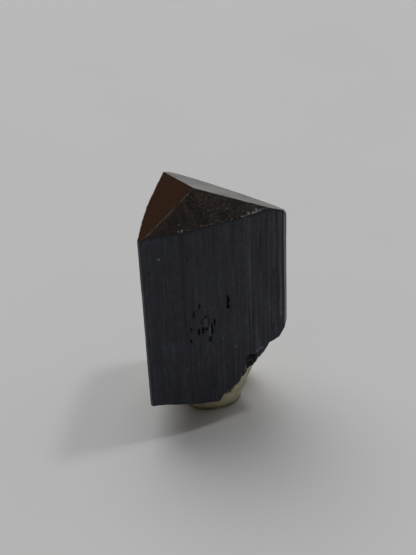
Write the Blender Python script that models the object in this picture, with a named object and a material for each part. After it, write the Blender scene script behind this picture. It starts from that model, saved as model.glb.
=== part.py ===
"""A black tourmaline crystal that stands in a lump of mounting putty.

The crystal is one stubby three-sided prism with gently bowed, striated sides. Three flat rhombohedral
faces close its top, and a rough break ends it below, cut up steeply under the right corner. The putty
is pressed under the break and has a flat foot.

Metres, +Z up. The origin is at the foot, under the centre of the bounding box. The crystal's long axis
is vertical, and its widest side looks along -Y.
"""

import math
import random

import bmesh
import bpy
import numpy as np
from mathutils import Matrix

MM = 0.001

# Driving dimensions in millimetres. Plan places are measured from the crystal's axis, which runs through
# its apex, and "level" is a height measured from the apex, so levels are negative.
STAND_HEIGHT = 36.0  # from the foot of the putty to the apex
TOP_SLOPE = 0.5173  # fall per unit run of the three top faces, as in tourmaline's {10-11} faces
TOP_AZIMUTHS = (-90.0, 30.0, 150.0)  # degrees: front, back right, back left

# Corners of the bowed three-sided section, anticlockwise from the front left edge.
PRISM_OUTLINE = (
    (-9.80, -5.14),
    (-6.00, -5.45),
    (-2.70, -5.70),
    (2.50, -5.42),
    (8.50, -5.12),
    (10.93, -5.02),
    (11.62, -4.25),
    (11.25, -1.80),
    (10.00, 1.30),
    (8.40, 4.70),
    (6.40, 8.10),
    (4.40, 11.10),
    (2.60, 12.95),
    (1.20, 13.15),
    (-0.10, 12.00),
    (-2.10, 9.15),
    (-5.50, 4.05),
    (-7.60, 0.10),
    (-9.95, -4.72),
)

# Striations: long facets of uneven width that step in and out along the section.
STRIA_WIDTHS = (0.18, 0.50)
STRIA_DEPTH_PLAIN = 0.030  # on the left of the front side
STRIA_DEPTH_STRONG = 0.085  # everywhere else
STRONG_FROM_X = 3.0
STRIA_SEED = 11

# The break where it meets the front side, from the left edge to the right corner: plan x and level.
FRONT_BREAK = (
    (-10.00, -30.00),
    (-7.20, -30.46),
    (0.30, -32.13),
    (0.95, -31.25),
    (1.60, -30.60),
    (2.70, -29.90),
    (3.60, -29.35),
    (4.05, -28.60),
    (4.15, -26.60),
    (4.70, -25.85),
    (5.70, -25.40),
    (6.60, -25.05),
    (7.60, -24.75),
    (8.30, -24.47),
    (9.30, -24.28),
    (10.10, -24.00),
    (10.74, -22.95),
    (11.20, -22.30),
    (11.70, -21.60),
)
# The break just behind the front side, where the scooped chip ends: plan x and level.
INNER_BREAK = (
    (-10.00, -30.25),
    (-8.30, -30.10),
    (0.60, -32.10),
    (2.40, -32.25),
    (4.20, -30.30),
    (5.90, -28.70),
    (6.50, -28.20),
    (7.10, -27.40),
    (7.90, -26.40),
    (8.20, -25.60),
    (8.45, -24.60),
    (9.30, -24.25),
    (10.10, -23.95),
    (10.74, -22.90),
    (11.20, -22.20),
    (11.70, -21.50),
)
FRONT_Y = -5.5
# A shell-shaped hollow in the chip: plan x, plan y and level of its centre, and its three radii.
SCOOP_PLACE = (5.30, -5.75, -27.00)
SCOOP_RADII = (1.45, 1.65, 1.60)
CHIP_DEPTH = 1.35  # how far behind the front side the inner profile holds
BREAK_RISE_BACK = 0.12  # rise of the break per millimetre towards the back
BREAK_ROUGHNESS = 0.28
BREAK_GRAIN = 2.6  # size of the lumps in the break

# Etch pits in the front side: plan x, level, half width and half length.
PITS = (
    (2.05, -15.55, 0.16, 0.95),
    (2.12, -16.75, 0.24, 0.30),
    (1.80, -19.30, 0.10, 0.80),
    (-2.80, -17.00, 0.14, 0.55),
    (-3.52, -18.90, 0.20, 0.70),
    (-2.40, -18.70, 0.16, 0.75),
    (-1.70, -19.60, 0.24, 0.62),
    (-1.10, -17.45, 0.26, 0.40),
    (-0.92, -19.10, 0.14, 0.70),
    (-0.35, -19.85, 0.26, 0.55),
    (0.13, -18.70, 0.15, 0.90),
    (-3.05, -20.10, 0.18, 0.36),
    (-3.61, -20.95, 0.14, 0.34),
    (-0.70, -21.15, 0.20, 0.42),
)
PIT_DEPTH = 0.35
# Long grooves that end part of the way down the front side: plan x, top level, bottom level.
GROOVES = (
    (-8.55, -6.6, -14.2),
    (-6.90, -12.0, -21.5),
    (-4.62, -3.4, -13.6),
    (-4.05, -10.5, -17.8),
    (3.30, -6.2, -14.4),
    (4.85, -3.1, -12.9),
    (6.10, -8.4, -19.6),
    (7.35, -3.0, -11.2),
    (8.62, -9.0, -20.8),
    (9.55, -3.2, -15.0),
)
GROOVE_HALF_WIDTH = 0.16
GROOVE_DEPTH = 0.10

# The putty: an uneven ball, cut flat at the foot and pressed to the shape of the break above it.
PUTTY_CENTRE = (2.10, 3.20)
PUTTY_CENTRE_HEIGHT = 4.0
PUTTY_RADII = (7.1, 7.0, 6.8)
PUTTY_FOOT_SHARE = 0.79  # width of the foot as a share of the widest section
PUTTY_LOBES = 0.07  # depth of the finger dents as a share of the radius
PUTTY_RINGS = 22
PUTTY_SEGMENTS = 36
CONTACT_GAP = 0.55  # left between the putty and the break

PLAN_LOW = (-13.0, -8.5)
PLAN_HIGH = (14.0, 16.0)
BREAK_CELLS = (52, 40)


def plan_centre():
    """Centre of the section's bounding rectangle, in millimetres from the crystal's axis."""
    xs, ys = zip(*striated_outline())
    return (min(xs) + max(xs)) / 2, (min(ys) + max(ys)) / 2


def level_to_height(level):
    """Height above the foot, in millimetres, of a level measured from the apex."""
    return STAND_HEIGHT + level


def value_noise(x, y, seed):
    """Smooth noise in -1..1: random values on a unit lattice, blended with a cubic fade."""
    x, y = np.asarray(x, float), np.asarray(y, float)
    col, row = np.floor(x), np.floor(y)
    fx, fy = x - col, y - row
    fx, fy = fx * fx * (3 - 2 * fx), fy * fy * (3 - 2 * fy)

    def lattice(i, j):
        wave = np.sin(i * 127.1 + j * 311.7 + seed * 74.7) * 43758.5453
        return 2 * (wave - np.floor(wave)) - 1

    near = lattice(col, row) * (1 - fx) + lattice(col + 1, row) * fx
    far = lattice(col, row + 1) * (1 - fx) + lattice(col + 1, row + 1) * fx
    return near * (1 - fy) + far * fy


def break_level(x, y):
    """Level of the break over a plan place.

    The front profile holds at the front side and curves into the inner profile within the chip's depth.
    Behind that the inner profile rises slowly, and lumps of two sizes roughen it.
    """
    front = np.interp(x, *zip(*FRONT_BREAK))
    inner = np.interp(x, *zip(*INNER_BREAK))
    behind = np.asarray(y, float) - FRONT_Y
    share = np.clip(1 - behind / CHIP_DEPTH, 0, 1) ** 1.7
    lumps = value_noise(np.asarray(x) / BREAK_GRAIN, np.asarray(y) / BREAK_GRAIN, 3)
    grains = value_noise(np.asarray(x) / BREAK_GRAIN * 2.7, np.asarray(y) / BREAK_GRAIN * 2.7, 8)
    rough = BREAK_ROUGHNESS * (lumps + 0.45 * grains) * np.clip(behind / CHIP_DEPTH, 0, 1)
    return inner + (front - inner) * share + BREAK_RISE_BACK * np.maximum(behind, 0) + rough


def striated_outline():
    """The section's corners with a facet edge every fraction of a millimetre, stepping in and out."""
    picks = random.Random(STRIA_SEED)
    points = []
    for (ax, ay), (bx, by) in zip(PRISM_OUTLINE, PRISM_OUTLINE[1:] + PRISM_OUTLINE[:1]):
        length = math.hypot(bx - ax, by - ay)
        out_x, out_y = (by - ay) / length, -(bx - ax) / length
        points.append((ax, ay))
        along, sign = picks.uniform(*STRIA_WIDTHS), 1
        while along < length - STRIA_WIDTHS[0]:
            x, y = ax + (bx - ax) * along / length, ay + (by - ay) * along / length
            plain = y < -5 and x < STRONG_FROM_X
            depth = STRIA_DEPTH_PLAIN if plain else STRIA_DEPTH_STRONG
            step = sign * depth * picks.uniform(0.2, 1.0)
            points.append((x + out_x * step, y + out_y * step))
            along += picks.uniform(*STRIA_WIDTHS)
            sign = -sign
    return points


def front_y(x):
    """Plan y of the front side at a plan x."""
    corners = sorted(PRISM_OUTLINE[:6])
    return float(np.interp(x, [c[0] for c in corners], [c[1] for c in corners]))


def principled(name, colour, roughness):
    """A plain finish with a colour and a roughness."""
    material = bpy.data.materials.new(name)
    material.use_nodes = True
    shader = material.node_tree.nodes["Principled BSDF"]
    shader.inputs["Base Color"].default_value = (*colour, 1.0)
    shader.inputs["Roughness"].default_value = roughness
    shader.inputs["Metallic"].default_value = 0.0
    material.diffuse_color = (*colour, 1.0)
    return material


def add_object(name, mesh, collection):
    """Puts a mesh in a collection, standing on the crystal's axis."""
    thing = bpy.data.objects.new(name, mesh)
    centre_x, centre_y = plan_centre()
    thing.location = (-centre_x * MM, -centre_y * MM, 0)
    collection.objects.link(thing)
    return thing


def add_cutter(name, mesh, collection):
    """A helper solid that only cuts."""
    cutter = add_object(name, mesh, collection)
    cutter.hide_render = True
    cutter.display_type = "WIRE"
    return cutter


def mesh_from(builder, name):
    """A flat-shaded mesh made from a bmesh that this call uses up."""
    bmesh.ops.recalc_face_normals(builder, faces=builder.faces)
    for face in builder.faces:
        face.smooth = False
    mesh = bpy.data.meshes.new(name)
    builder.to_mesh(mesh)
    builder.free()
    return mesh


def boolean(target, cutter, operation):
    """Adds a live Boolean that cuts the target with the cutter."""
    modifier = target.modifiers.new(cutter.name, "BOOLEAN")
    modifier.operation = operation
    modifier.solver = "EXACT"
    modifier.object = cutter
    return modifier


def prism_mesh():
    """The striated section drawn as a flat curve, extruded past both ends of the crystal."""
    curve = bpy.data.curves.new("section", "CURVE")
    curve.dimensions = "2D"
    curve.fill_mode = "BOTH"
    half = (STAND_HEIGHT + 2) / 2
    curve.extrude = half * MM
    outline = striated_outline()
    spline = curve.splines.new("POLY")
    spline.points.add(len(outline) - 1)
    for point, (x, y) in zip(spline.points, outline):
        point.co = (x * MM, y * MM, 0, 1)
    spline.use_cyclic_u = True
    drawn = bpy.data.objects.new("section", curve)
    bpy.context.scene.collection.objects.link(drawn)
    graph = bpy.context.evaluated_depsgraph_get()
    mesh = bpy.data.meshes.new_from_object(drawn.evaluated_get(graph))
    bpy.data.objects.remove(drawn)
    builder = bmesh.new()
    builder.from_mesh(mesh)
    bmesh.ops.remove_doubles(builder, verts=builder.verts, dist=1e-7)
    bmesh.ops.translate(builder, verts=builder.verts, vec=(0, 0, half * MM))
    return mesh_from(builder, "tourmaline_crystal")


def top_cutter_mesh(azimuth):
    """A large box whose underside is one of the three faces that meet at the apex."""
    side = 80 * MM
    builder = bmesh.new()
    bmesh.ops.create_cube(builder, size=side)
    turn = Matrix.Rotation(math.radians(azimuth), 4, "Z") @ Matrix.Rotation(math.atan(TOP_SLOPE), 4, "Y")
    lift = Matrix.Translation((0, 0, side / 2))
    apex = Matrix.Translation((0, 0, STAND_HEIGHT * MM))
    bmesh.ops.transform(builder, matrix=apex @ turn @ lift, verts=builder.verts)
    return mesh_from(builder, f"top_face_{azimuth:.0f}")


def spaced(low, high, cells, fine_low, fine_high, fine_share):
    """Grid lines from low to high, with fine_share of the cells between fine_low and fine_high."""
    side_share = (1 - fine_share) / 2
    return np.interp(
        np.linspace(0, 1, cells + 1), (0, side_share, 1 - side_share, 1), (low, fine_low, fine_high, high)
    )


def break_block_mesh(name, drop):
    """The space under the break: a grid at the break's level, lowered by drop, closed down to the foot."""
    columns, rows = BREAK_CELLS
    xs = spaced(PLAN_LOW[0], PLAN_HIGH[0], columns, 0.0, 11.5, 0.5)
    ys = spaced(PLAN_LOW[1], PLAN_HIGH[1], rows, -6.2, -3.8, 0.3)
    builder = bmesh.new()
    bmesh.ops.create_grid(builder, x_segments=columns, y_segments=rows, size=0.5)
    for vert in builder.verts:
        x = xs[round((vert.co.x + 0.5) * columns)]
        y = ys[round((vert.co.y + 0.5) * rows)]
        vert.co = (x * MM, y * MM, (level_to_height(break_level(x, y)) - drop) * MM)
    walls = bmesh.ops.extrude_face_region(builder, geom=builder.faces[:])
    for item in walls["geom"]:
        if isinstance(item, bmesh.types.BMVert):
            item.co.z = 0
    return mesh_from(builder, name)


def spindle(builder, x, level, half_width, half_length, depth):
    """A pointed four-sided spindle, half sunk in the front side at a plan x and a level."""
    place = Matrix.Translation((x * MM, front_y(x) * MM, level_to_height(level) * MM))
    size = Matrix.Diagonal((half_width * MM, depth * MM, half_length * MM, 1))
    made = bmesh.ops.create_icosphere(builder, subdivisions=1, radius=1)
    bmesh.ops.transform(builder, matrix=place @ size, verts=made["verts"])


def face_marks_mesh():
    """All the etch pits and the short grooves of the front side, as one cutter."""
    builder = bmesh.new()
    for x, level, half_width, half_length in PITS:
        spindle(builder, x, level, half_width, half_length, PIT_DEPTH)
    for x, top, bottom in GROOVES:
        spindle(builder, x, (top + bottom) / 2, GROOVE_HALF_WIDTH, (top - bottom) / 2, GROOVE_DEPTH)
    return mesh_from(builder, "face_marks")


def scoop_mesh():
    """A round stone's shape that hollows the chip."""
    builder = bmesh.new()
    x, y, level = SCOOP_PLACE
    place = Matrix.Translation((x * MM, y * MM, level_to_height(level) * MM))
    size = Matrix.Diagonal((*(radius * MM for radius in SCOOP_RADII), 1))
    made = bmesh.ops.create_icosphere(builder, subdivisions=3, radius=1)
    bmesh.ops.transform(builder, matrix=place @ size, verts=made["verts"])
    return mesh_from(builder, "chip_scoop")


def putty_mesh():
    """A ball with finger dents: wide at the height of its centre, narrower at the foot."""
    builder = bmesh.new()
    bmesh.ops.create_uvsphere(builder, u_segments=PUTTY_SEGMENTS, v_segments=PUTTY_RINGS, radius=1)
    for vert in builder.verts:
        x, y, z = vert.co
        angle = math.atan2(y, x)
        dent = PUTTY_LOBES * (math.sin(3 * angle + 0.6) + 0.6 * math.sin(5 * angle + 2.0 + 2 * z))
        below = max(0.0, -z * PUTTY_RADII[2] / PUTTY_CENTRE_HEIGHT)
        narrow = 1 + (PUTTY_FOOT_SHARE - 1) * min(below, 1.0)
        swell = max(math.sqrt(x * x + y * y), 1e-6)
        spread = min(1.0, 1.35 * swell) / swell
        reach = narrow * spread * (1 + dent)
        vert.co = (
            (PUTTY_CENTRE[0] + x * reach * PUTTY_RADII[0]) * MM,
            (PUTTY_CENTRE[1] + y * reach * PUTTY_RADII[1]) * MM,
            (PUTTY_CENTRE_HEIGHT + z * PUTTY_RADII[2]) * MM,
        )
    return mesh_from(builder, "mounting_putty")


def make_crystal(parts, cutters):
    """The prism, cut by the three top faces, the break, and the marks in its front side."""
    crystal = add_object("tourmaline_crystal", prism_mesh(), parts)
    crystal.data.materials.append(principled("schorl", (0.010, 0.011, 0.015), 0.28))
    for azimuth in TOP_AZIMUTHS:
        cutter = add_cutter(f"top_face_{azimuth:.0f}", top_cutter_mesh(azimuth), cutters)
        boolean(crystal, cutter, "DIFFERENCE")
    under = add_cutter("under_break", break_block_mesh("under_break", 0.0), cutters)
    boolean(crystal, under, "DIFFERENCE")
    scoop = add_cutter("chip_scoop", scoop_mesh(), cutters)
    boolean(crystal, scoop, "DIFFERENCE")
    marks = add_cutter("face_marks", face_marks_mesh(), cutters)
    boolean(crystal, marks, "DIFFERENCE").use_self = True
    return crystal


def make_putty(parts, cutters):
    """The dented ball, kept only between the foot and the break."""
    putty = add_object("mounting_putty", putty_mesh(), parts)
    putty.data.materials.append(principled("putty", (0.50, 0.46, 0.34), 0.55))
    room = add_cutter("putty_room", break_block_mesh("putty_room", CONTACT_GAP), cutters)
    boolean(putty, room, "INTERSECT")
    return putty


def main():
    for thing in list(bpy.data.objects):
        bpy.data.objects.remove(thing)
    parts = bpy.data.collections.new("tourmaline crystal")
    cutters = bpy.data.collections.new("cutters")
    bpy.context.scene.collection.children.link(parts)
    bpy.context.scene.collection.children.link(cutters)
    make_crystal(parts, cutters)
    make_putty(parts, cutters)


main()
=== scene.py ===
"""Looks of a black tourmaline crystal that stands in a lump of mounting putty.

Shapes are worked out in millimetres. Plan places are measured from the crystal's axis, which runs through
its apex, and a level is a height measured from the apex, so levels are negative. place() carries the result
into the frame, in metres.
"""

import math

import bpy
import numpy as np
from mathutils import Matrix, Vector


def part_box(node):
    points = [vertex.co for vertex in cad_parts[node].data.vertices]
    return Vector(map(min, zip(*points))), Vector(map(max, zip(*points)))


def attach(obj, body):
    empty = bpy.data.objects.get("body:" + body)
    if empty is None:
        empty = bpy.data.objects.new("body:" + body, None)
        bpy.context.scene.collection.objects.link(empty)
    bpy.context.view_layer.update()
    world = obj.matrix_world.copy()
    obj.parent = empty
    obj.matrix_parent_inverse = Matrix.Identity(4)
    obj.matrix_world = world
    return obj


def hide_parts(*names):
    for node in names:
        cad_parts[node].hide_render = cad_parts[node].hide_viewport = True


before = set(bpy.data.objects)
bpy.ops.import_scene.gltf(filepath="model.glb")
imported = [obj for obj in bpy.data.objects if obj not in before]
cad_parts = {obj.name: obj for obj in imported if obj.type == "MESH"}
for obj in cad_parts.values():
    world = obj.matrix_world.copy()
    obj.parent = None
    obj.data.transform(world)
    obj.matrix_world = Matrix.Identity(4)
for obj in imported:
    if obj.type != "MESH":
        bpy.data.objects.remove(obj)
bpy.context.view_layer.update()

MM = 0.001

# ------------ driving dimensions

STAND_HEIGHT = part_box("tourmaline_crystal")[1].z / MM  # the apex's height above the floor
AXIS = (-0.835, -3.725)  # plan place of the crystal's axis in the frame

TOP_SLOPE = 0.5173  # fall per unit run of the three top faces
TOP_AZIMUTHS = (-90.0, 30.0, 150.0)  # front, back and left
RIDGE_AZIMUTHS = (-150.0, -30.0, 90.0)

# Corners of the bowed three-sided section, anticlockwise from the front left edge.
SECTION = np.array([
    (-9.8, -5.14), (-6.0, -5.45), (-2.7, -5.7), (2.5, -5.42), (8.5, -5.12), (10.93, -5.02), (11.62, -4.25),
    (11.25, -1.8), (10.0, 1.3), (8.4, 4.7), (6.4, 8.1), (4.4, 11.1), (2.6, 12.95), (1.2, 13.15),
    (-0.1, 12.0), (-2.1, 9.15), (-5.5, 4.05), (-7.6, 0.1), (-9.95, -4.72),
])
FRONT_CORNERS = 6  # the first corners, which make the front side
SHARP_CORNERS = (0, 5, 6, 12, 13, 14, 18)  # corners that show as edges

# The break: its level where it meets the front side, and just behind it, where the scooped chip ends.
FRONT_BREAK = np.array([
    (-10.0, -30.0), (-7.2, -30.46), (0.3, -32.13), (0.95, -31.25), (1.6, -30.6), (2.7, -29.9), (3.6, -29.35),
    (4.05, -28.6), (4.15, -26.6), (4.7, -25.85), (5.7, -25.4), (6.6, -25.05), (7.6, -24.75), (8.3, -24.47),
    (9.3, -24.28), (10.1, -24.0), (10.74, -22.95), (11.2, -22.3), (11.7, -21.6),
])
INNER_BREAK = np.array([
    (-10.0, -30.25), (-8.3, -30.1), (0.6, -32.1), (2.4, -32.25), (4.2, -30.3), (5.9, -28.7), (6.5, -28.2),
    (7.1, -27.4), (7.9, -26.4), (8.2, -25.6), (8.45, -24.6), (9.3, -24.25), (10.1, -23.95), (10.74, -22.9),
    (11.2, -22.2), (11.7, -21.5),
])
FRONT_Y = -5.5  # plan y of the front side
CHIP_DEPTH = 1.35
BREAK_RISE_BACK = 0.12  # how fast the break rises behind the front side
BREAK_ROUGHNESS = 0.28
BREAK_GRAIN = 2.6  # size of the break's lumps
BREAK_CENTRE = (1.5, 2.5)
SCOOP_PLACE = (5.30, -5.75, -27.00)
SCOOP_RADII = (1.45, 1.65, 1.60)

# The sides' relief and bow, and what has worn off the rim, the back edge of the right bevel and the ridges.
FACET_RELIEF = 0.042
HAIRLINE_RELIEF = 0.012
WAVE_RELIEF = 0.02
RIM_BOW = 0.12  # how far the front side bows out under the rim, and the plan x where it does most
RIM_BOW_X = 4.5
RIM_WEAR = 0.030
RIM_WEAR_BRUISED = 0.075
CORNER_WEAR = 0.30
RIDGE_WEAR = 0.0015
RIDGE_WIDTH = 0.06

# Marks in the front side: plan x, level, half width, half length and depth of each etch pit, which also sets
# how much painted shade darkens it.
PITS = (
    (2.01, -14.5, 0.1, 0.32, 0.14), (2.18, -15.55, 0.16, 0.98, 0.34), (2.23, -16.45, 0.27, 0.2, 0.3),
    (2.0, -18.2, 0.08, 0.9, 0.07), (-2.1, -15.07, 0.12, 0.36, 0.17), (-2.46, -15.75, 0.09, 0.4, 0.08),
    (-2.95, -16.15, 0.11, 0.5, 0.17), (-1.27, -16.98, 0.36, 0.15, 0.12), (-1.9, -17.6, 0.11, 0.5, 0.15),
    (-2.37, -19.1, 0.13, 0.56, 0.3), (-1.72, -19.1, 0.14, 0.55, 0.3), (-1.2, -19.0, 0.22, 0.26, 0.24),
    (-0.82, -17.9, 0.11, 0.5, 0.14), (-0.38, -19.05, 0.13, 0.75, 0.26), (0.02, -18.3, 0.11, 0.58, 0.24),
    (-3.5, -18.45, 0.13, 0.36, 0.2), (-3.98, -19.05, 0.09, 0.3, 0.1), (-3.3, -18.6, 0.08, 0.25, 0.1),
    (-3.53, -20.4, 0.15, 0.26, 0.18), (-3.37, -21.0, 0.11, 0.16, 0.1), (-0.68, -20.9, 0.24, 0.4, 0.26),
    (-0.4, -19.85, 0.13, 0.3, 0.2), (-4.05, -3.45, 0.16, 0.24, 0.14), (-3.52, -7.1, 0.13, 0.28, 0.15),
    (-8.8, -8.3, 0.22, 0.3, 0.05), (-3.1, -11.9, 0.12, 0.2, 0.07), (6.6, -25.85, 0.8, 0.42, 0.11),
)

# Streaks of the front side: plan x, half width, top level, bottom level, and tone, dark below 0.
# They are partly the finish's own tone and partly painted sheen: the light and dark bands at the right stand
# in for reflections off tilted facets, and the narrow bright lines by the pits are painted highlights.
STREAKS_AND_PAINTED_SHEEN = (
    (-9.3, 0.12, -4.0, -29.0, 0.25), (-9.1, 0.45, -3.9, -8.5, -0.32), (-7.3, 0.2, -3.4, -9.0, 0.22),
    (-7.05, 0.24, -9.0, -15.0, 0.15), (-4.18, 0.24, -2.8, -17.5, -0.85), (-3.6, 0.3, -5.0, -8.4, -0.45),
    (-3.15, 0.16, -3.2, -17.0, -0.45), (-3.72, 0.1, -11.5, -17.5, 0.3), (0.34, 0.16, -3.2, -7.6, -0.85),
    (0.42, 0.18, -7.5, -13.0, -0.3), (3.1, 0.18, -3.8, -9.8, -0.9), (3.6, 0.08, -9.0, -14.5, -0.45),
    (5.12, 0.08, -3.0, -14.0, -0.55), (5.55, 0.3, -3.0, -24.0, 0.5), (6.92, 0.07, -8.6, -12.0, -1.0),
    (7.22, 0.06, -8.8, -11.9, -0.95), (7.62, 0.06, -7.0, -14.0, -0.7), (8.16, 0.1, -3.2, -15.0, -0.8),
    (8.55, 0.11, -4.0, -23.0, 0.45), (9.33, 0.08, -2.9, -12.0, 1.7), (9.2, 0.14, -10.0, -21.0, 0.45),
    (9.87, 0.08, -3.2, -20.0, -0.95), (10.36, 0.17, -3.2, -20.5, 2.2), (10.67, 0.06, -3.4, -21.0, -0.75),
    (10.9, 0.1, -3.4, -22.0, 1.1), (3.97, 0.07, -26.7, -28.2, -0.9), (-1.3, 1.3, -25.9, -28.0, -0.3),
    (-0.3, 1.5, -28.65, -28.95, -0.55), (-1.24, 0.06, -17.2, -18.8, 2.4), (-0.72, 0.06, -19.0, -20.2, 3.6),
    (-0.2, 0.06, -17.9, -18.9, 1.5), (-7.6, 1.1, -27.75, -28.0, 0.35), (-7.2, 1.3, -28.35, -28.6, -0.4),
)

# Light specks of the front side: plan x, level, radius and strength. The two beside the chip, at plan x 6.55
# and 7.25, are painted glints.
LIGHT_SPECKS_AND_GLINTS = (
    (-7.4, -6.33, 0.2, 1.0), (1.25, -21.4, 0.3, 0.18), (3.25, -23.4, 0.38, 0.2), (-4.3, -25.0, 0.3, 0.14),
    (-0.3, -16.0, 0.2, 0.22), (-6.9, -24.2, 0.22, 0.1), (5.9, -21.7, 0.22, 0.12), (6.55, -25.33, 0.4, 0.34),
    (7.25, -25.03, 0.44, 0.3), (-2.7, -9.7, 0.2, 0.1),
)

# Rim bruises of the front side: plan x, half width and strength.
RIM_BRUISES = (
    (5.54, 0.28, 0.7), (6.5, 0.4, 0.7), (7.35, 0.14, 0.4), (8.2, 0.6, -0.7), (-4.55, 0.2, 0.9),
    (-4.1, 0.14, 1.0), (0.2, 0.16, 0.7), (1.9, 0.2, 0.5), (3.4, 0.4, 0.6), (-9.15, 0.25, 0.7),
    (-3.2, 0.15, 0.7), (4.3, 0.14, 0.6),
)

# Marks of the front top face: plan x, plan y, half width, half length up the slope, and tone.
TOP_MARKS = (
    (-4.0, -4.5, 0.14, 0.16, 1.6), (-3.55, -3.55, 0.16, 0.75, 0.9), (-2.2, -2.4, 0.15, 0.75, 1.3),
    (-0.1, -1.25, 0.16, 0.3, 1.2), (-2.75, -3.6, 0.16, 0.6, -0.9), (-1.5, -2.2, 0.16, 0.8, -0.8),
    (0.6, -2.4, 0.25, 0.9, 0.5), (-4.6, -4.3, 0.35, 0.6, 0.3), (2.25, -1.45, 0.25, 0.12, 1.3),
    (-0.6, -3.7, 0.3, 0.8, -0.4), (1.6, -2.6, 0.5, 0.6, 0.5), (3.1, -3.6, 0.6, 0.5, 0.35),
)

# Pale crushed spots of the front top face: plan x, level, half width, half height and strength.
CRUSHED_SPOTS = (
    (5.66, -2.66, 0.24, 0.17, 1.0), (6.34, -2.7, 0.16, 0.11, 1.0), (6.9, -2.58, 0.26, 0.24, 1.0),
    (7.33, -2.62, 0.15, 0.13, 0.9), (7.8, -2.57, 0.12, 0.08, 0.9), (8.3, -2.55, 0.14, 0.1, 0.6),
    (-0.52, -2.86, 0.13, 0.08, 0.8), (0.26, -2.85, 0.13, 0.08, 0.8), (1.86, -2.84, 0.14, 0.08, 0.8),
    (3.1, -2.83, 0.14, 0.08, 0.8), (3.95, -2.81, 0.2, 0.08, 0.8), (-4.0, -2.33, 0.17, 0.09, 0.45),
    (-0.1, -0.65, 0.14, 0.12, 0.16), (2.25, -0.76, 0.18, 0.06, 0.25),
)

# Painted light and shade in the chip: negative tones are painted shade in the hollow's dark crescent, and
# positive ones are painted reflections on facets that face the floor. Each row gives plan x, level, half
# width, half height and tone.
CHIP_SHADE_AND_LIGHT = (
    (5.3, -26.95, 0.6, 0.55, -3.2), (5.8, -26.4, 0.6, 0.6, -3.2), (6.15, -26.0, 0.6, 0.3, -1.8),
    (5.02, -27.3, 0.3, 0.45, -1.6), (4.75, -27.6, 0.2, 0.5, -1.2), (5.1, -28.75, 0.55, 1.25, 1.9),
    (5.42, -28.05, 0.24, 0.65, -2.2), (5.22, -27.45, 0.24, 0.26, 1.4), (5.95, -27.25, 0.42, 0.35, 0.8),
    (6.22, -27.8, 0.38, 0.6, 1.5), (5.78, -27.8, 0.28, 0.32, -1.0), (6.45, -26.75, 0.28, 0.32, 0.8),
)

# The crystal's grid: steps between columns, and rows as shares of the way over each part of it.
FRONT_STEP = 0.088
SIDE_STEP = 0.165
TOP_SHARES = np.append(np.linspace(0, 1, 27)[1:-1], 0.985)
SIDE_SHARES = np.concatenate([
    [0.0, 0.003, 0.007, 0.014],
    np.linspace(0.025, 0.34, 20, endpoint=False),
    np.linspace(0.34, 0.66, 62, endpoint=False),
    np.linspace(0.66, 0.985, 26),
    [0.992, 0.997, 1.0],
])
BREAK_SHARES = np.concatenate([np.linspace(0.012, 0.20, 16), np.linspace(0.23, 0.96, 22)])

# The putty: an uneven ball, flat at the foot and pressed to the shape of the break above it.
PUTTY_CENTRE = (2.10, 3.20)
PUTTY_CENTRE_HEIGHT = 4.0
PUTTY_RADII = (7.1, 7.0, 6.8)
PUTTY_FOOT_SHARE = 0.79
PUTTY_LOBES = 0.07
PUTTY_DENTS = 0.020
PUTTY_ROWS = 150
PUTTY_COLUMNS = 260
CONTACT_GAP = 0.06  # left free between the putty and the break

# Colours, as linear red, green and blue, and the shader's plain values.
SCHORL_IOR = 1.64
# Side colours by tone; their blue stands partly for a painted bluish reflection on the sides.
SIDE_COLOURS = (
    (0.0, (0.0008, 0.0013, 0.0040)), (0.33, (0.0144, 0.0170, 0.0315)),
    (0.66, (0.050, 0.053, 0.071)), (1.0, (0.115, 0.118, 0.130)),
)
SIDE_TINTS = ((0.36, (0.95, 1.02, 1.02)), (0.64, (1.05, 0.98, 1.03)))
BREAK_COLOURS = (
    (0.0, (0.0006, 0.0007, 0.0012)), (0.30, (0.0120, 0.0150, 0.0190)),
    (0.60, (0.066, 0.078, 0.090)), (1.0, (0.280, 0.285, 0.290)),
)
# Top faces: dark and light body, glint paint and wear, then how strongly glints and crushed spots are
# painted, roughness and the film's weight. The brown of the front and left faces stands partly for a painted
# reflection of the brown room near the horizon, and the back face's light body is partly painted sheen.
TOP_FINISHES = {
    "schorl top front": (
        (0.0062, 0.0036, 0.0023), (0.0340, 0.0245, 0.0185), (0.105, 0.109, 0.100), (0.040, 0.031, 0.025),
        1.0, 0.06, 0.0,
    ),
    "schorl top left": (
        (0.0250, 0.0088, 0.0022), (0.0410, 0.0145, 0.0042), (0.060, 0.030, 0.018), (0.046, 0.031, 0.023),
        0.0, 0.10, 0.0,
    ),
    "schorl top back": (
        (0.0230, 0.0195, 0.0155), (0.0700, 0.0610, 0.0490), (0.062, 0.058, 0.052), (0.10, 0.085, 0.075),
        0.30, 0.30, 0.5,
    ),
}
# Colour of the light specks and painted glints.
SPECK_AND_GLINT_PAINT = (0.36, 0.37, 0.39)
DUST_PAINT = (0.060, 0.063, 0.070)
SIDE_WEAR_PAINT = (0.150, 0.148, 0.155)
# Brown tint of the painted glints.
BROWN_GLINT_PAINT = (0.075, 0.058, 0.052)
BRUISE_PAINT = (0.28, 0.28, 0.31)
CRUSHED_PAINT = (0.21, 0.21, 0.25)
BREAK_WEAR_PAINT = (0.10, 0.10, 0.095)
PUTTY_DARK = (0.36, 0.31, 0.19)
PUTTY_LIGHT = (0.56, 0.51, 0.36)
PUTTY_SMEAR = (0.20, 0.17, 0.11)

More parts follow.
